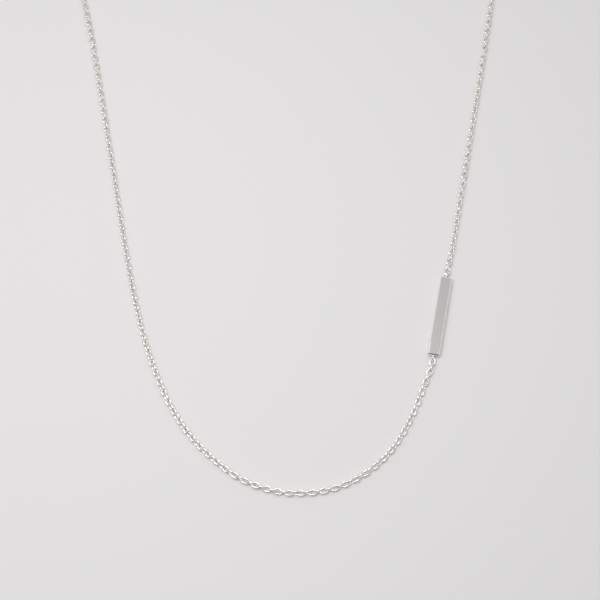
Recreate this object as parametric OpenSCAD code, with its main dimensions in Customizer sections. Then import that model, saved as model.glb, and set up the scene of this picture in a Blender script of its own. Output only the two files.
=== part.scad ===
// Bar necklace: a slim silver bar let into one side of a fine cable chain, laid out flat as a loop.
// Millimetres, +Z up. The surface that it lies on is z = 0, and the origin is under the middle of the
// loop. The bottom of the loop, which hangs lowest when it is worn, points to -Y.

/* [Bar] */
// Length of the bar without its eyes
bar_l = 18.7; // [14:0.1:22]
// Width of the bar across its flat face
bar_w = 2.7; // [2.2:0.1:4]
// Thickness of the bar
bar_t = 1.5; // [1.4:0.1:2.4]
// Bevel along every edge of the bar
bar_bevel = 0.25; // [0.1:0.05:0.5]

/* [Eyes] */
// Outer diameter of the small closed ring soldered on each end of the bar and the clasp
eye_d = 1.5; // [1.4:0.05:1.8]
// Wire diameter of that ring
eye_wire = 0.35; // [0.3:0.05:0.4]

/* [Chain] */
// Outer length of a chain link
link_l = 1.95; // [1.85:0.05:2.4]
// Outer width of a chain link
link_w = 1.4; // [1.3:0.05:1.7]
// Wire diameter of a chain link
link_wire = 0.35; // [0.28:0.01:0.38]
// Gap between a link and what it hangs in or follows
link_gap = 0.1; // [0.08:0.01:0.12]

/* [Clasp] */
// Length of the barrel clasp without its eyes
clasp_l = 8; // [6:0.5:10]
// Diameter of the barrel
clasp_d = 2.6; // [2.2:0.1:3.4]
// Bevel at each end of the barrel
clasp_bevel = 0.5; // [0.2:0.1:0.8]
// Width of the groove where the barrel's two halves meet
groove_w = 0.4; // [0.2:0.1:0.8]
// Depth of that groove
groove_depth = 0.2; // [0.1:0.05:0.3]

/* [Lay] */
// Middle of the bar, to the right of the middle of the loop
bar_x = 34.3; // [33.8:0.1:34.8]
// Middle of the bar, along the loop
bar_y = -46.9; // [-47.5:0.1:-46]
// Turn of the bar from the Y axis
bar_turn = -11; // [-13:0.5:-9]
// Middle of the clasp, along the loop
clasp_y = 86; // [85:0.5:88]

/* [Hidden] */
$fn = 48;
tube_sides = 8;
steps_per_point = 2;

// The chain rests with its edge-on links on the surface.
tube_r = link_w / 2;
chain_z = tube_r * cos(180 / tube_sides);
// Over this length the chain comes down from an eye to the surface.
settle_run = 8;

// Places of the bar's and the clasp's own parts.
bar_mid = [bar_x, bar_y, bar_t / 2];
bar_up = [-sin(bar_turn), cos(bar_turn), 0];
clasp_mid = [0, clasp_y, clasp_d / 2];
eye_r = (eye_d - eye_wire) / 2;

// An end link's wire lies this far out from the end that its eye is soldered to, and an end link's
// far side this far out.
hook = 2 * eye_r - eye_wire / 2 - link_gap - link_wire / 2;
reach = hook - link_wire / 2 + link_l;

// Route of the chain on the surface, in order along it, from the bar to the clasp. Each point is x, y.
SHORT_ROUTE = [
  [38, -29.5], [40, -19], [43, -3.5], [46, 12], [48, 23], [50, 34],
  [51.5, 44], [51.5, 54], [48.5, 63.5], [42, 72], [32.5, 79], [20.5, 84]
];
LONG_ROUTE = [
  [30, -63.5], [27, -70.5], [22.5, -77.5], [16, -83], [8.5, -86], [0, -86.5], [-7.5, -84.5],
  [-13.5, -81], [-20, -75], [-25, -68], [-29, -59.5], [-32, -51], [-34.5, -41.5], [-36.5, -32.5],
  [-38.5, -22.5], [-41.5, -7], [-44.5, 8.5], [-46.5, 18.5], [-49, 30],
  [-51.5, 41], [-51.5, 52], [-48.5, 62.5], [-42, 72], [-33, 79], [-21, 84]
];

// Where each stretch of chain leaves the bar and reaches the clasp: the middle of the end that the
// eye is soldered to, and the way out from it.
short_from = [bar_mid + bar_up * bar_l / 2, bar_up];
long_from = [bar_mid - bar_up * bar_l / 2, -bar_up];
short_to = [clasp_mid + [clasp_l / 2, 0, 0], [1, 0, 0]];
long_to = [clasp_mid - [clasp_l / 2, 0, 0], [-1, 0, 0]];

function unit(v) = v / norm(v);

// One point of a smooth curve that passes through b and c, with a and d as its neighbours.
function on_curve(a, b, c, d, u) =
  (2 * b + (c - a) * u + (2 * a - 5 * b + 4 * c - d) * u * u + (3 * b - a - 3 * c + d) * u * u * u) / 2;

// The height of the chain at a point: an eye's height beside that eye, and the surface's further on.
function share_left(p, end) = max(0, 1 - norm([p.x - end[0].x, p.y - end[0].y]) / settle_run);
function eased(share) = share * share * (3 - 2 * share);
function height(p, from, to) =
  chain_z + (from[0].z - chain_z) * eased(share_left(p, from)) + (to[0].z - chain_z) * eased(share_left(p, to));

// The tube's own ends lie just past the end links.
function tube_end(end) = end[0] + end[1] * (reach + link_gap);

// The whole route, with one point before its first and after its last that set the curve's ends.
function knots(from, to, route) =
  let (first = tube_end(from), last = tube_end(to), lead = reach)
  concat(
    [[first.x, first.y] - lead * [from[1].x, from[1].y], [first.x, first.y]],
    route,
    [[last.x, last.y], [last.x, last.y] - lead * [to[1].x, to[1].y]]
  );
function smooth(k) = concat(
  [for (i = [1:len(k) - 3]) for (j = [0:steps_per_point - 1])
    on_curve(k[i - 1], k[i], k[i + 1], k[i + 2], j / steps_per_point)],
  [k[len(k) - 2]]
);
function centre_line(from, to, route) =
  [for (p = smooth(knots(from, to, route))) [p.x, p.y, height(p, from, to)]];

// A closed tube along a centre line, with a ring of corners at each of its points.
module tube(line, r) {
  count = len(line);
  ahead = [for (i = [0:count - 1]) unit(line[min(i + 1, count - 1)] - line[max(i - 1, 0)])];
  side = [for (t = ahead) unit([t.y, -t.x, 0])];
  corners = [for (i = [0:count - 1]) for (k = [0:tube_sides - 1])
    let (angle = (k + 0.5) * 360 / tube_sides)
    line[i] + r * (cos(angle) * side[i] + sin(angle) * cross(side[i], ahead[i]))];
  walls = [for (i = [0:count - 2]) for (k = [0:tube_sides - 1])
    let (next = (k + 1) % tube_sides)
    [i * tube_sides + k, i * tube_sides + next, (i + 1) * tube_sides + next, (i + 1) * tube_sides + k]];
  near_cap = [for (k = [tube_sides - 1:-1:0]) k];
  far_cap = [for (k = [0:tube_sides - 1]) (count - 1) * tube_sides + k];
  polyhedron(corners, concat(walls, [near_cap, far_cap]));
}

// A closed ring of round wire, standing in the plane of X and Z.
module ring(r, wire) {
  rotate([90, 0, 0]) rotate_extrude() translate([r, 0]) circle(d = wire);
}

// The two eyes of a piece that lies along X. Each stands on edge, with its wire half in the metal.
module eyes(length) {
  for (turn = [0, 180]) {
    rotate(turn) translate([length / 2 + eye_r, 0, 0]) ring(eye_r, eye_wire);
  }
}

// One oval link, flat, with its long side along X and its near wire's middle at the origin.
module link() {
  bend_r = (link_w - link_wire) / 2;
  straight = link_l - link_w;
  translate([bend_r, 0, 0]) {
    for (turn = [0, 180]) {
      translate([turn == 0 ? straight : 0, 0, 0]) rotate(turn - 90)
        rotate_extrude(angle = 180) translate([bend_r, 0]) circle(d = link_wire);
    }
    for (side = [-1, 1]) {
      translate([0, side * bend_r, 0]) rotate([0, 90, 0]) cylinder(d = link_wire, h = straight);
    }
  }
}

// The chain's last link at one end, passed through the eye there.
module end_link(end) {
  color("gainsboro") translate(end[0]) rotate(atan2(end[1].y, end[1].x)) translate([hook, 0, 0]) link();
}

// One stretch of chain between its two end links, as a tube of the links' width.
module chain(from, to, route) {
  color("gainsboro") tube(centre_line(from, to, route), tube_r);
}

// A block with every edge bevelled, lying along X with its middle at the origin.
module bevelled_block(size, bevel) {
  intersection() {
    linear_extrude(size.z, center = true) bevelled_outline(size.x, size.y, bevel);
    rotate([90, 0, 0]) linear_extrude(size.y, center = true) bevelled_outline(size.x, size.z, bevel);
    rotate([90, 0, 90]) linear_extrude(size.x, center = true) bevelled_outline(size.y, size.z, bevel);
  }
}

module bevelled_outline(w, h, bevel) {
  x = w / 2;
  y = h / 2;
  polygon([
    [x - bevel, -y], [x, bevel - y], [x, y - bevel], [x - bevel, y],
    [bevel - x, y], [-x, y - bevel], [-x, bevel - y], [bevel - x, -y]
  ]);
}

module bar() {
  color("silver") translate(bar_mid) rotate(bar_turn + 90) {
    bevelled_block([bar_l, bar_w, bar_t], bar_bevel);
    eyes(bar_l);
  }
}

module chain_short() {
  chain(short_from, short_to, SHORT_ROUTE);
}

module chain_long() {
  chain(long_from, long_to, LONG_ROUTE);
}

// The barrel's half outline, from its axis out and along its length.
module barrel_outline() {
  r = clasp_d / 2;
  x = clasp_l / 2;
  polygon([
    [0, -x], [r - clasp_bevel, -x], [r, clasp_bevel - x],
    [r, -groove_w / 2], [r - groove_depth, 0], [r, groove_w / 2],
    [r, x - clasp_bevel], [r - clasp_bevel, x], [0, x]
  ]);
}

module clasp() {
  color("silver") translate(clasp_mid) {
    rotate([0, 90, 0]) rotate_extrude() barrel_outline();
    eyes(clasp_l);
  }
}

module link_bar_top() {
  end_link(short_from);
}

module link_bar_bottom() {
  end_link(long_from);
}

module link_clasp_right() {
  end_link(short_to);
}

module link_clasp_left() {
  end_link(long_to);
}

bar();
chain_short();
chain_long();
clasp();
link_bar_top();
link_bar_bottom();
link_clasp_right();
link_clasp_left();
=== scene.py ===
"""Bar necklace: a slim silver bar let into one side of a fine cable chain, laid out flat as a loop.

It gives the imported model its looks. Metres, with +Z up and the surface that the necklace lies on at
z = 0. Sizes in millimetres are written with MM.
"""
import bisect
import math
import random
from collections import namedtuple

import bmesh
import bpy
from mathutils import Matrix, Vector


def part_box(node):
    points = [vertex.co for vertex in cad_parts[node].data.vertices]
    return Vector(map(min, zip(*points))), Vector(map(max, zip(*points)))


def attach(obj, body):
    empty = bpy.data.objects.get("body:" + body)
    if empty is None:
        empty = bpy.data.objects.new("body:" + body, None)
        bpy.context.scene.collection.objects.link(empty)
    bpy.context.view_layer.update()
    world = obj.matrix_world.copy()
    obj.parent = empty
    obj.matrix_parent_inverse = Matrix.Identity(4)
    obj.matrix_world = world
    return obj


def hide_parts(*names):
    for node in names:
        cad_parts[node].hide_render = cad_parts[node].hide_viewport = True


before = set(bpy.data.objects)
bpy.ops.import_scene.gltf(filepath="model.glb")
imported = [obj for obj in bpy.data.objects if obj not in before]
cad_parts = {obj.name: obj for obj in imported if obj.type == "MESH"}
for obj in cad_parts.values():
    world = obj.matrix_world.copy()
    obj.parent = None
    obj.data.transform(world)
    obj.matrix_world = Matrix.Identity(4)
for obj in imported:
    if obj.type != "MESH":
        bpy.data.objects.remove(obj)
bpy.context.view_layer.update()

bl_info = {
    "name": "Bar necklace",
    "version": (1, 0, 0),
    "blender": (4, 5, 0),
    "location": "View3D > Sidebar > Necklace",
    "description": "Models a silver bar necklace link by link, with its floor, lights and camera",
    "category": "Add Mesh",
}

MM = 0.001
BODY = "root"

# Route of each stretch of chain on the surface, from the bar to the clasp, in millimetres. The packed
# model's own chain follows the same points.
SHORT_ROUTE = [
    (38, -29.5), (40, -19), (43, -3.5), (46, 12), (48, 23), (50, 34),
    (51.5, 44), (51.5, 54), (48.5, 63.5), (42, 72), (32.5, 79), (20.5, 84),
]
LONG_ROUTE = [
    (30, -63.5), (27, -70.5), (22.5, -77.5), (16, -83), (8.5, -86), (0, -86.5), (-7.5, -84.5),
    (-13.5, -81), (-20, -75), (-25, -68), (-29, -59.5), (-32, -51), (-34.5, -41.5), (-36.5, -32.5),
    (-38.5, -22.5), (-41.5, -7), (-44.5, 8.5), (-46.5, 18.5), (-49, 30),
    (-51.5, 41), (-51.5, 52), (-48.5, 62.5), (-42, 72), (-33, 79), (-21, 84),
]

# How far the chain has rolled over on its own line, in degrees, at a share of each stretch's length.
# At 0 every second link lies flat and the others stand on edge. At 45 they all lean.
SHORT_ROLL = [
    (0, 0), (0.04, 25), (0.1, 15), (0.17, 5), (0.24, 12), (0.28, 28), (0.33, 10), (0.43, 5), (0.95, 30),
    (1, 0),
]
LONG_ROLL = [
    (0, 0), (0.05, 40), (0.12, 28), (0.14, 8), (0.17, 24), (0.19, -4), (0.22, 18), (0.25, 36), (0.32, 30),
    (0.4, 45), (0.5, 42), (0.58, 22), (0.64, 10), (0.7, 14), (0.95, 30), (1, 0),
]

# How far a single link may be turned from its neighbours' roll, and from the line, in degrees.
ROLL_PLAY = 6
YAW_PLAY = 1

# Which run of chance turns each stretch's links.
SHORT_SEED = 3
LONG_SEED = 5

# How working leaves the silver: its roughness, the size of the marks in millimetres along X, Y and Z of
# the piece, and their depth. Real marks are about a third as wide, which is too fine to show, so they
# are drawn coarser.
Finish = namedtuple("Finish", "roughness grain depth")
LAPPED = Finish(0.08, Vector((9, 0.09, 0.09)), 0.0014 * MM)
DRAWN = Finish(0.1, Vector((0.3, 0.3, 0.3)), 0.003 * MM)
TURNED = Finish(0.1, Vector((0.09, 5, 5)), 0.0018 * MM)

# The share by which the roughness falls and rises over the marks, and how many sizes of marks there are.
ROUGHNESS_SPREAD = 0.3
MARK_SIZES = 2

CARD_ROUGHNESS = 0.9
CARD_GLOSS = 0.1

# In how many steps each curve and each round is drawn.
CURVE_STEPS = 40
WIRE_SIDES = 6
BEND_STEPS = 8
EYE_WIRE_SIDES = 16
RING_STEPS = 32
BARREL_STEPS = 64
MOUND_STEPS = 24
SOFT_STEPS = 2

# How far a mound of solder stands out, as a share of its radius.
MOUND_HEIGHT = 0.5

# The barrel's edges that are rounded are those whose faces meet at more than this, in degrees.
BARREL_EDGE = 20

# Corners nearer than this are one.
SAME_PLACE = 0.001 * MM


def linear(hex_colour):
    """Linear red, green, blue and alpha of an sRGB colour such as #FCFAF5."""
    shares = [int(hex_colour[i:i + 2], 16) / 255 for i in (1, 3, 5)]
    return (*[s / 12.92 if s <= 0.04045 else ((s + 0.055) / 1.055) ** 2.4 for s in shares], 1)


def size(name, description, default):
    """A property that holds one length."""
    return bpy.props.FloatProperty(
        name=name, description=description, default=default, min=0, precision=5, unit="LENGTH")


def colour(name, description, default):
    """A property that holds one colour, given as an sRGB hex value."""
    return bpy.props.FloatVectorProperty(
        name=name, description=description, default=linear(default)[:3], min=0, max=1, subtype="COLOR")


def strength(name, description, default, unit="NONE"):
    """A property that holds the strength of a light."""
    return bpy.props.FloatProperty(name=name, description=description, default=default, min=0, unit=unit)


class BarSettings(bpy.types.PropertyGroup):
    """Sizes and colour of the bar"""
    length: size("Length", "Length of the bar without its eyes", 18.7 * MM)
    width: size("Width", "Width of the bar across its flat face", 2.7 * MM)
    thickness: size("Thickness", "Thickness of the bar", 1.5 * MM)
    bevel: size("Bevel", "Bevel along every edge of the bar", 0.25 * MM)
    softness: size("Softness", "Rounding that polishing gives each edge of the bevel", 0.015 * MM)
    silver: colour("Silver", "Colour of the bar's metal", "#F7F5F4")


class EyeSettings(bpy.types.PropertyGroup):
    """Sizes of the closed rings soldered on the bar and the clasp"""
    diameter: size("Diameter", "Outer diameter of each eye", 1.5 * MM)
    wire: size("Wire", "Wire diameter of each eye", 0.35 * MM)
    solder: size("Solder", "Radius of the solder that each eye sits in", 0.3 * MM)


class ChainSettings(bpy.types.PropertyGroup):
    """Sizes and colour of the chain's links"""
    link_length: size("Link length", "Outer length of a link", 1.95 * MM)
    link_width: size("Link width", "Outer width of a link", 1.4 * MM)
    wire: size("Wire", "Wire diameter of a link", 0.35 * MM)
    gap: size("Gap", "Gap between an end link and the eye that it hangs in", 0.1 * MM)
    pitch: size("Pitch", "Distance from one link to the next", 1.235 * MM)
    settle_run: size("Settle run", "Length over which the chain comes down from an eye", 8 * MM)
    silver: colour("Silver", "Colour of the links' metal", "#FCFAF6")


class ClaspSettings(bpy.types.PropertyGroup):
    """Sizes and colour of the barrel clasp"""
    length: size("Length", "Length of the barrel without its eyes", 8 * MM)
    diameter: size("Diameter", "Diameter of the barrel", 2.6 * MM)
    bevel: size("Bevel", "Bevel at each end of the barrel", 0.5 * MM)
    groove_width: size("Groove width", "Width of the groove where the halves meet", 0.4 * MM)
    groove_depth: size("Groove depth", "Depth of that groove", 0.2 * MM)
    softness: size("Softness", "Rounding of each edge of the barrel", 0.06 * MM)
    silver: colour("Silver", "Colour of the clasp's metal", "#FAF8F4")


class StageSettings(bpy.types.PropertyGroup):
    """Floor and lights"""
    floor_colour: colour("Floor", "Colour of the floor", "#F2F0F0")
    key_power: strength("Key light", "Power of the soft light overhead", 0.405, "POWER")
    sky_strength: strength("Surroundings", "Brightness of the room around", 1)


class NecklaceSettings(bpy.types.PropertyGroup):
    """Every setting of the necklace and its stage"""
    bar: bpy.props.PointerProperty(type=BarSettings)
    eyes: bpy.props.PointerProperty(type=EyeSettings)
    chain: bpy.props.PointerProperty(type=ChainSettings)
    clasp: bpy.props.PointerProperty(type=ClaspSettings)
    stage: bpy.props.PointerProperty(type=StageSettings)


def add_node(tree, kind, inputs, **settings):
    """Adds a node. Each of its inputs takes a value, or the output that feeds it."""
    node = tree.nodes.new(kind)
    for name, value in settings.items():
        setattr(node, name, value)
    for name, value in inputs.items():
        if isinstance(value, bpy.types.NodeSocket):
            tree.links.new(value, node.inputs[name])
        else:
            node.inputs[name].default_value = value
    return node


def new_material(name):
    """An empty node material, and its node tree."""
    material = bpy.data.materials.get(name) or bpy.data.materials.new(name)
    material.use_nodes = True
    material.node_tree.nodes.clear()
    return material, material.node_tree


def polished_silver(name, silver, finish, turn=0):
    """Polished sterling silver, with the marks that working it left, turned about Z with its piece.

    Polishing leaves a bright mirror that is slightly uneven, so each highlight has a soft, broken edge.
    """
    material, tree = new_material(name)
    place = add_node(tree, "ShaderNodeTexCoord", {}).outputs["Object"]
    along = add_node(
        tree, "ShaderNodeMapping", {"Vector": place, "Rotation": (0, 0, turn), "Scale": finish.grain * MM},
        vector_type="TEXTURE")
    skin = add_node(
        tree, "ShaderNodeTexNoise", {"Vector": along.outputs["Vector"], "Scale": 1, "Detail": MARK_SIZES})
    rough = add_node(tree, "ShaderNodeMapRange", {
        "Value": skin.outputs["Fac"], "To Min": finish.roughness * (1 - ROUGHNESS_SPREAD),
        "To Max": finish.roughness * (1 + ROUGHNESS_SPREAD)})
    bump = add_node(tree, "ShaderNodeBump", {"Height": skin.outputs["Fac"], "Distance": finish.depth})
    metal = add_node(tree, "ShaderNodeBsdfPrincipled", {
        "Base Color": (*silver, 1), "Metallic": 1.0,
        "Roughness": rough.outputs["Result"], "Normal": bump.outputs["Normal"]})
    add_node(tree, "ShaderNodeOutputMaterial", {"Surface": metal.outputs["BSDF"]})
    return material


def matte_card(name, card):
    """Uncoated card, pressed smooth. It gives the eye an even, soft white with no gloss."""
    material, tree = new_material(name)
    paper = add_node(tree, "ShaderNodeBsdfPrincipled", {
        "Base Color": (*card, 1), "Roughness": CARD_ROUGHNESS, "Specular IOR Level": CARD_GLOSS})
    add_node(tree, "ShaderNodeOutputMaterial", {"Surface": paper.outputs["BSDF"]})
    return material


def remove_piece(name):
    """Removes a piece of an earlier run."""
    old = bpy.data.objects.get(name)
    if old:
        bpy.data.objects.remove(old)


def add_object(name, bm, material):
    """Makes a bmesh an object in the scene, at the origin."""
    remove_piece(name)
    mesh = bpy.data.meshes.new(name)
    bm.to_mesh(mesh)
    bm.free()
    mesh.materials.append(material)
    made = bpy.data.objects.new(name, mesh)
    bpy.context.scene.collection.objects.link(made)
    return made


def finish_piece(piece, slot, *nodes):
    """Shades a piece smoothly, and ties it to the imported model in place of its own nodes."""
    piece.data.shade_smooth()
    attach(piece, BODY)
    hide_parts(*nodes)


def node_middle(node):
    """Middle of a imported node's box."""
    low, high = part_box(node)
    return (low + high) / 2


def way_out(node, link):
    """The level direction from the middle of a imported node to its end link."""
    way = node_middle(link) - node_middle(node)
    way.z = 0
    return way.normalized()


def bevel_edges(bm, edges, offset, segments):
    """Bevels the edges by an offset."""
    bmesh.ops.bevel(
        bm, geom=list(edges), offset=offset, offset_type="OFFSET", segments=segments,
        profile=0.5, affect="EDGES", material=-1, clamp_overlap=True)


def sharp_edges(bm, degrees):
    """The edges where two faces meet at more than an angle."""
    limit = math.radians(degrees)
    return [e for e in bm.edges if e.is_manifold and e.calc_face_angle() > limit]


def ring_shell(centre, radius, wire):
    """A closed ring of round wire that stands on edge, in the plane of X and Z."""
    bm = bmesh.new()
    start = Matrix.Translation(centre + Vector((radius, 0, 0)))
    bmesh.ops.create_circle(bm, segments=EYE_WIRE_SIDES, radius=wire / 2, matrix=start)
    bmesh.ops.spin(
        bm, geom=bm.verts[:] + bm.edges[:], cent=centre, axis=(0, 1, 0), angle=math.tau,
        steps=RING_STEPS, use_merge=True)
    bmesh.ops.recalc_face_normals(bm, faces=bm.faces)
    return bm


def solder_shell(centre, radius):
    """The small mound of solder that an eye sits in, flat towards the metal that it is on."""
    bm = bmesh.new()
    mound = Matrix.Translation(centre) @ Matrix.Diagonal((MOUND_HEIGHT, 1, 1, 1))
    bmesh.ops.create_uvsphere(
        bm, u_segments=MOUND_STEPS, v_segments=MOUND_STEPS // 2, radius=radius, matrix=mound)
    return bm


def eye_shells(length, eyes):
    """The eyes and their solder on both ends of a piece that lies along X."""
    radius = (eyes.diameter - eyes.wire) / 2
    shells = []
    for way in (-1, 1):
        end = Vector((way * length / 2, 0, 0))
        shells.append(ring_shell(end + Vector((way * radius, 0, 0)), radius, eyes.wire))
        shells.append(solder_shell(end, eyes.solder))
    return shells


def soldered(name, body, shells, material):
    """One object whose skin is the union of a closed body and closed shells."""
    whole = add_object(name, body, material)
    added = []
    for shell in shells:
        other = add_object(f"{name}_added_{len(added)}", shell, material)
        union = whole.modifiers.new("solder", "BOOLEAN")
        union.operation = "UNION"
        union.solver = "EXACT"
        union.object = other
        added.append(other)
    graph = bpy.context.evaluated_depsgraph_get()
    mesh = bpy.data.meshes.new_from_object(whole.evaluated_get(graph))
    whole.modifiers.clear()
    whole.data = mesh
    mesh.name = name
    for other in added:
        bpy.data.objects.remove(other)
    return whole


def soften_shading(piece):
    """Keeps large flat faces flat to the eye beside their rounded edges."""
    weighted = piece.modifiers.new("flat faces", "WEIGHTED_NORMAL")
    weighted.keep_sharp = True


def bar_block(bar):
    """The bar along X with its middle at the origin, bevelled, and with the bevel's edges softened."""
    bm = bmesh.new()
    bmesh.ops.create_cube(bm, size=1, matrix=Matrix.Diagonal((bar.length, bar.width, bar.thickness, 1)))
    bevel_edges(bm, bm.edges, bar.bevel, 1)
    bevel_edges(bm, bm.edges, bar.softness, SOFT_STEPS)
    return bm


def barrel(clasp):
    """The barrel along X with its middle at the origin, spun from its half outline."""
    radius = clasp.diameter / 2
    half = clasp.length / 2
    outline = [
        (-half, 0), (-half, radius - clasp.bevel), (clasp.bevel - half, radius),
        (-clasp.groove_width / 2, radius), (0, radius - clasp.groove_depth),
        (clasp.groove_width / 2, radius),
        (half - clasp.bevel, radius), (half, radius - clasp.bevel), (half, 0),
    ]
    bm = bmesh.new()
    corners = [bm.verts.new((x, 0, z)) for x, z in outline]
    for near, far in zip(corners, corners[1:]):
        bm.edges.new((near, far))
    bmesh.ops.spin(
        bm, geom=bm.verts[:] + bm.edges[:], cent=(0, 0, 0), axis=(1, 0, 0), angle=math.tau,
        steps=BARREL_STEPS, use_merge=True)
    bmesh.ops.remove_doubles(bm, verts=bm.verts, dist=SAME_PLACE)
    bmesh.ops.recalc_face_normals(bm, faces=bm.faces)
    bevel_edges(bm, sharp_edges(bm, BARREL_EDGE), clasp.softness, SOFT_STEPS)
    return bm


def on_curve(a, b, c, d, share):
    """A point between b and c on a smooth curve that passes through both, with a and d beside them."""
    return (2 * b + (c - a) * share + (2 * a - 5 * b + 4 * c - d) * share ** 2
            + (3 * b - a - 3 * c + d) * share ** 3) / 2


def in_table(table, share):
    """The value at a share of the way through a table of shares and values, eased from row to row."""
    for (low, before), (high, after) in zip(table, table[1:]):
        if share <= high:
            part = (share - low) / (high - low)
            return before + (after - before) * part * part * (3 - 2 * part)
    return table[-1][1]


class LaidChain:
    """One stretch of chain as it lies: points close together, with the distance and roll at each.

    A point's height is only what an eye lifts the chain by. Each link adds its own resting height.
    """

    def __init__(self, chain, eyes, ends, ways, route, roll):
        flat = self.level_line(chain, eyes, ends, ways, route)
        level = [0]
        for near, far in zip(flat, flat[1:]):
            level.append(level[-1] + (far - near).length)
        self.roll = [in_table(roll, done / level[-1]) for done in level]
        lifts = [end.z - resting_height(chain, 0, 0) for end in ends]
        self.points = []
        for point, done in zip(flat, level):
            start = lifts[0] * self.lift_left(chain, done)
            finish = lifts[1] * self.lift_left(chain, level[-1] - done)
            self.points.append(Vector((point.x, point.y, start + finish)))
        self.run = [0]
        for near, far in zip(self.points, self.points[1:]):
            self.run.append(self.run[-1] + (far - near).length)

    @staticmethod
    def level_line(chain, eyes, ends, ways, route):
        """The line from one end link's middle to the other's, seen from above.

        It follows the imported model's curve, whose end points lie past the end links, and whose
        directions there are set by points as far back as the solder.
        """
        reach = eyes.diameter - 1.5 * eyes.wire - chain.gap - chain.wire + chain.link_length
        starts = [Vector((end.x, end.y)) for end in ends]
        outs = [Vector((way.x, way.y)) for way in ways]
        first, last = [s + o * (chain.link_length / 2 + chain.gap) for s, o in zip(starts, outs)]
        knots = [first - outs[0] * reach, first]
        knots += [Vector(point) * MM for point in route]
        knots += [last, last - outs[1] * reach]
        line = [starts[0]]
        for a, b, c, d in zip(knots, knots[1:], knots[2:], knots[3:]):
            line += [on_curve(a, b, c, d, step / CURVE_STEPS) for step in range(CURVE_STEPS)]
        return line + [last, starts[1]]

    @staticmethod
    def lift_left(chain, away):
        """Share of an eye's height that the chain still has at a distance from it."""
        share = max(0, 1 - away / chain.settle_run)
        return share * share * (3 - 2 * share)

    def at(self, distance):
        """The point, the way along and the roll at a distance along the chain."""
        after = min(bisect.bisect(self.run, distance), len(self.run) - 1)
        near, far = self.points[after - 1], self.points[after]
        part = (distance - self.run[after - 1]) / (self.run[after] - self.run[after - 1])
        roll = self.roll[after - 1] + (self.roll[after] - self.roll[after - 1]) * part
        return near.lerp(far, part), (far - near).normalized(), roll


def resting_height(chain, roll, yaw):
    """Height of a link's middle, when its own lowest wire or its neighbours' touches the surface."""
    bend = (chain.link_width - chain.wire) / 2
    half_straight = (chain.link_length - chain.link_width) / 2
    own = abs(math.sin(roll)) * (bend + half_straight * abs(math.sin(yaw)))
    beside = abs(math.cos(roll)) * bend
    return chain.wire / 2 + max(own, beside)


def link_places(chain, laid, seed):
    """Where each link between the two end links lies. Every second one is turned by a quarter."""
    pairs = round(laid.run[-1] / chain.pitch / 2)
    count = pairs * 2
    chance = random.Random(seed)
    places = []
    for number in range(1, count):
        point, way, roll = laid.at(laid.run[-1] * number / count)
        quarter = 90 * (number % 2)
        roll = math.radians(roll + quarter + chance.uniform(-ROLL_PLAY, ROLL_PLAY))
        yaw = math.radians(chance.uniform(-YAW_PLAY, YAW_PLAY))
        point.z += resting_height(chain, roll, yaw)
        side = Vector((way.y, -way.x, 0)).normalized()
        along = Matrix((way, side, way.cross(side))).transposed().to_4x4()
        turned = Matrix.Rotation(roll, 4, "X") @ Matrix.Rotation(yaw, 4, "Z")
        places.append(Matrix.Translation(point) @ along @ turned)
    return places


def link_shell(chain):
    """One oval link, flat, with its long side along X and its middle at the origin."""
    bend = (chain.link_width - chain.wire) / 2
    straight = chain.link_length - chain.link_width
    bm = bmesh.new()
    start = Matrix.Translation((-straight / 2, -bend, 0)) @ Matrix.Rotation(math.pi / 2, 4, "Y")
    bmesh.ops.create_circle(bm, segments=WIRE_SIDES, radius=chain.wire / 2, matrix=start)
    section = bm.verts[:] + bm.edges[:]
    for way in (1, -1):
        rim = [part for part in section if isinstance(part, bmesh.types.BMEdge)]
        drawn = bmesh.ops.extrude_edge_only(bm, edges=rim)
        section = [part for part in drawn["geom"] if not isinstance(part, bmesh.types.BMFace)]
        moved = [part for part in section if isinstance(part, bmesh.types.BMVert)]
        bmesh.ops.translate(bm, verts=moved, vec=(way * straight, 0, 0))
        bent = bmesh.ops.spin(
            bm, geom=section, cent=(way * straight / 2, 0, 0), axis=(0, 0, 1), angle=math.pi,
            steps=BEND_STEPS)
        section = [part for part in bent["geom_last"] if not isinstance(part, bmesh.types.BMFace)]
    bmesh.ops.remove_doubles(bm, verts=bm.verts, dist=SAME_PLACE)
    bmesh.ops.recalc_face_normals(bm, faces=bm.faces)
    return bm


def strung_links(chain, places):
    """Every link of a stretch of chain, each a closed shell in the next."""
    template = bpy.data.meshes.new("link")
    shell = link_shell(chain)
    shell.to_mesh(template)
    shell.free()
    bm = bmesh.new()
    for place in places:
        done = len(bm.verts)
        bm.from_mesh(template)
        bm.verts.ensure_lookup_table()
        bmesh.ops.transform(bm, matrix=place, verts=bm.verts[done:])
    bpy.data.meshes.remove(template)
    return bm


class NECKLACE_OT_bar(bpy.types.Operator):
    """Models the bar with its two eyes"""
    bl_idname = "necklace.bar"
    bl_label = "Bar"
    bl_options = {"REGISTER", "UNDO"}

    def execute(self, context):
        settings = context.scene.necklace
        bar = settings.bar
        way = way_out("bar", "link_bar_top")
        turn = math.atan2(way.y, way.x)
        silver = polished_silver("lapped_sterling_silver", bar.silver, LAPPED, turn)
        piece = soldered("silver_bar", bar_block(bar), eye_shells(bar.length, settings.eyes), silver)
        middle = node_middle("bar")
        middle.z = bar.thickness / 2
        piece.data.transform(Matrix.Translation(middle) @ Matrix.Rotation(turn, 4, "Z"))
        finish_piece(piece, "bar_silver", "bar")
        soften_shading(piece)
        return {"FINISHED"}


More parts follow.
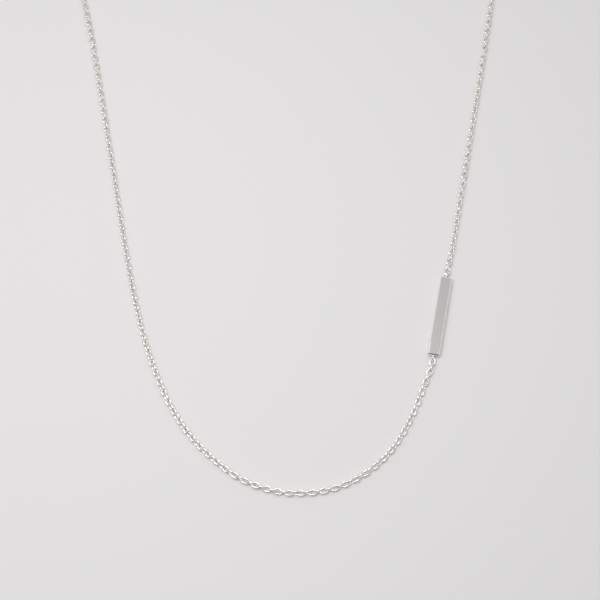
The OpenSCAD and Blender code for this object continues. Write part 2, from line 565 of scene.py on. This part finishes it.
class NECKLACE_OT_chain(bpy.types.Operator):
    """Models both stretches of chain, and gives their end links the same silver"""
    bl_idname = "necklace.chain"
    bl_label = "Chain"
    bl_options = {"REGISTER", "UNDO"}

    def execute(self, context):
        chain = context.scene.necklace.chain
        eyes = context.scene.necklace.eyes
        silver = polished_silver("drawn_sterling_silver_wire", chain.silver, DRAWN)
        stretches = (
            ("short_chain_links", "chain_short", ("link_bar_top", "link_clasp_right"),
             SHORT_ROUTE, SHORT_ROLL, SHORT_SEED),
            ("long_chain_links", "chain_long", ("link_bar_bottom", "link_clasp_left"),
             LONG_ROUTE, LONG_ROLL, LONG_SEED),
        )
        for name, node, (at_bar, at_clasp), route, roll, seed in stretches:
            ends = (node_middle(at_bar), node_middle(at_clasp))
            ways = (way_out("bar", at_bar), way_out("clasp", at_clasp))
            laid = LaidChain(chain, eyes, ends, ways, route, roll)
            piece = add_object(name, strung_links(chain, link_places(chain, laid, seed)), silver)
            finish_piece(piece, "chain_silver", node)
            for end_link in (at_bar, at_clasp):
                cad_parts[end_link].material_slots[0].material = silver
        return {"FINISHED"}


class NECKLACE_OT_clasp(bpy.types.Operator):
    """Models the barrel clasp with its two eyes"""
    bl_idname = "necklace.clasp"
    bl_label = "Clasp"
    bl_options = {"REGISTER", "UNDO"}

    def execute(self, context):
        settings = context.scene.necklace
        clasp = settings.clasp
        silver = polished_silver("turned_sterling_silver", clasp.silver, TURNED)
        piece = soldered("barrel_clasp", barrel(clasp), eye_shells(clasp.length, settings.eyes), silver)
        piece.data.transform(Matrix.Translation(node_middle("clasp")))
        finish_piece(piece, "clasp_silver", "clasp")
        soften_shading(piece)
        return {"FINISHED"}


# The camera's place, from the photo: where its middle falls on the necklace's plane, how steeply it
# looks down, and from how far.
LOOKED_AT = Vector((3 * MM, -43 * MM, 0.6 * MM))
LOOK_DOWN = math.radians(70.8)
LOOK_FROM = 270.13 * MM
LENS = 72
SENSOR = 36
NEAREST_SEEN = 10 * MM

FLOOR_WIDTH = 12.0
FLOOR_GAP = 0.01 * MM
KEY_WIDTH = 0.14
KEY_LENGTH = 0.24
KEY_PLACE = Vector((-0.055, -0.03, 0.3))
KEY_TARGET = Vector((-0.02, -0.02, 0))

# The room's tone at a height, from the horizon at 0 to straight up at 1.
ROOM = [
    (0, "#D0D0D0"), (0.12, "#909090"), (0.25, "#707070"), (0.45, "#969696"), (0.7, "#E8E8E8"),
    (0.84, "#F0F0F0"), (0.915, "#B9B9B9"), (0.95, "#C0C0C0"), (0.975, "#CCCCCC"), (1, "#F0F0F0"),
]

# Parts of the room that differ: the direction of each one's middle, the cosine of the angle from there
# at which it starts and at which it is full, and its tone.
ROOM_PARTS = [
    (Vector((-0.35, 0.85, 0.35)), 0.75, 0.95, "#B4B4B4"),
    (Vector((0.1, -0.92, 0.4)), 0.4, 0.88, "#6A6A6A"),
    (Vector((-0.86, 0.5, 0.08)), 0.86, 0.97, "#E6E6E6"),
    (Vector((0.98, 0.14, 0.06)), 0.9, 0.98, "#FFFFFF"),
]


def aimed(place, target):
    """The turn and place of something that looks from one point at another."""
    turn = (target - place).to_track_quat("-Z", "Y").to_matrix().to_4x4()
    return Matrix.Translation(place) @ turn


def add_floor(stage):
    """A wide sheet of pale card under the necklace."""
    bm = bmesh.new()
    low = Matrix.Translation((0, 0, -FLOOR_GAP))
    bmesh.ops.create_grid(bm, x_segments=1, y_segments=1, size=FLOOR_WIDTH / 2, matrix=low)
    floor = add_object("floor", bm, matte_card("pressed_white_card", stage.floor_colour))


def add_key_light(stage):
    """The large soft light, to the upper left of the photo."""
    remove_piece("key_light")
    light = bpy.data.lights.new("key_light", "AREA")
    light.shape = "RECTANGLE"
    light.size = KEY_WIDTH
    light.size_y = KEY_LENGTH
    light.energy = stage.key_power
    lamp = bpy.data.objects.new("key_light", light)
    lamp.matrix_world = aimed(KEY_PLACE, KEY_TARGET)
    bpy.context.scene.collection.objects.link(lamp)


def add_surroundings(stage):
    """A room: grey overhead, pale round that, bright low down on two sides, dark behind the camera."""
    world = bpy.data.worlds.get("pale_room") or bpy.data.worlds.new("pale_room")
    world.use_nodes = True
    tree = world.node_tree
    tree.nodes.clear()
    way = add_node(tree, "ShaderNodeTexCoord", {}).outputs["Generated"]
    height = add_node(tree, "ShaderNodeSeparateXYZ", {"Vector": way}).outputs["Z"]
    room = add_node(tree, "ShaderNodeValToRGB", {"Fac": height})
    steps = room.color_ramp.elements
    while len(steps) < len(ROOM):
        steps.new(1)
    for step, (share, tone) in zip(steps, ROOM):
        step.position = share
        step.color = linear(tone)
    seen = room.outputs["Color"]
    for middle, start, full, tone in ROOM_PARTS:
        lean = add_node(
            tree, "ShaderNodeVectorMath", {0: way, 1: middle.normalized()}, operation="DOT_PRODUCT")
        share = add_node(
            tree, "ShaderNodeMapRange",
            {"Value": lean.outputs["Value"], "From Min": start, "From Max": full},
            interpolation_type="SMOOTHSTEP")
        seen = add_node(
            tree, "ShaderNodeMixRGB",
            {"Fac": share.outputs["Result"], "Color1": seen, "Color2": linear(tone)}).outputs["Color"]
    light = add_node(tree, "ShaderNodeBackground", {"Color": seen, "Strength": stage.sky_strength})
    add_node(tree, "ShaderNodeOutputWorld", {"Surface": light.outputs["Background"]})
    bpy.context.scene.world = world


def add_camera():
    """The camera, as the photo was taken."""
    remove_piece("camera")
    lens = bpy.data.cameras.new("camera")
    lens.lens = LENS
    lens.sensor_width = SENSOR
    lens.clip_start = NEAREST_SEEN
    lens.dof.use_dof = False
    camera = bpy.data.objects.new("camera", lens)
    back = Vector((0, -math.cos(LOOK_DOWN), math.sin(LOOK_DOWN)))
    camera.matrix_world = aimed(LOOKED_AT + back * LOOK_FROM, LOOKED_AT)
    bpy.context.scene.collection.objects.link(camera)
    bpy.context.scene.camera = camera


class NECKLACE_OT_stage(bpy.types.Operator):
    """Sets up the floor, the lights and the camera"""
    bl_idname = "necklace.stage"
    bl_label = "Stage"
    bl_options = {"REGISTER", "UNDO"}

    def execute(self, context):
        stage = context.scene.necklace.stage
        add_floor(stage)
        add_key_light(stage)
        add_surroundings(stage)
        add_camera()
        context.scene.view_settings.view_transform = "Standard"
        return {"FINISHED"}


class NECKLACE_PT_panel(bpy.types.Panel):
    """The necklace's settings and the buttons that make its pieces"""
    bl_label = "Bar necklace"
    bl_idname = "NECKLACE_PT_panel"
    bl_space_type = "VIEW_3D"
    bl_region_type = "UI"
    bl_category = "Necklace"

    def draw(self, context):
        settings = context.scene.necklace
        groups = (
            (settings.bar, "necklace.bar"), (settings.eyes, None), (settings.chain, "necklace.chain"),
            (settings.clasp, "necklace.clasp"), (settings.stage, "necklace.stage"),
        )
        for group, operator in groups:
            box = self.layout.box()
            for name in group.__annotations__:
                box.prop(group, name)
            if operator:
                box.operator(operator)


CLASSES = (
    BarSettings, EyeSettings, ChainSettings, ClaspSettings, StageSettings, NecklaceSettings,
    NECKLACE_OT_bar, NECKLACE_OT_chain, NECKLACE_OT_clasp, NECKLACE_OT_stage, NECKLACE_PT_panel,
)


def register():
    for cls in CLASSES:
        bpy.utils.register_class(cls)
    bpy.types.Scene.necklace = bpy.props.PointerProperty(type=NecklaceSettings)


def unregister():
    del bpy.types.Scene.necklace
    for cls in reversed(CLASSES):
        bpy.utils.unregister_class(cls)


def main():
    """Makes every piece and the stage."""
    register()
    bpy.ops.necklace.bar()
    bpy.ops.necklace.chain()
    bpy.ops.necklace.clasp()
    bpy.ops.necklace.stage()


if __name__ == "__main__":
    main()
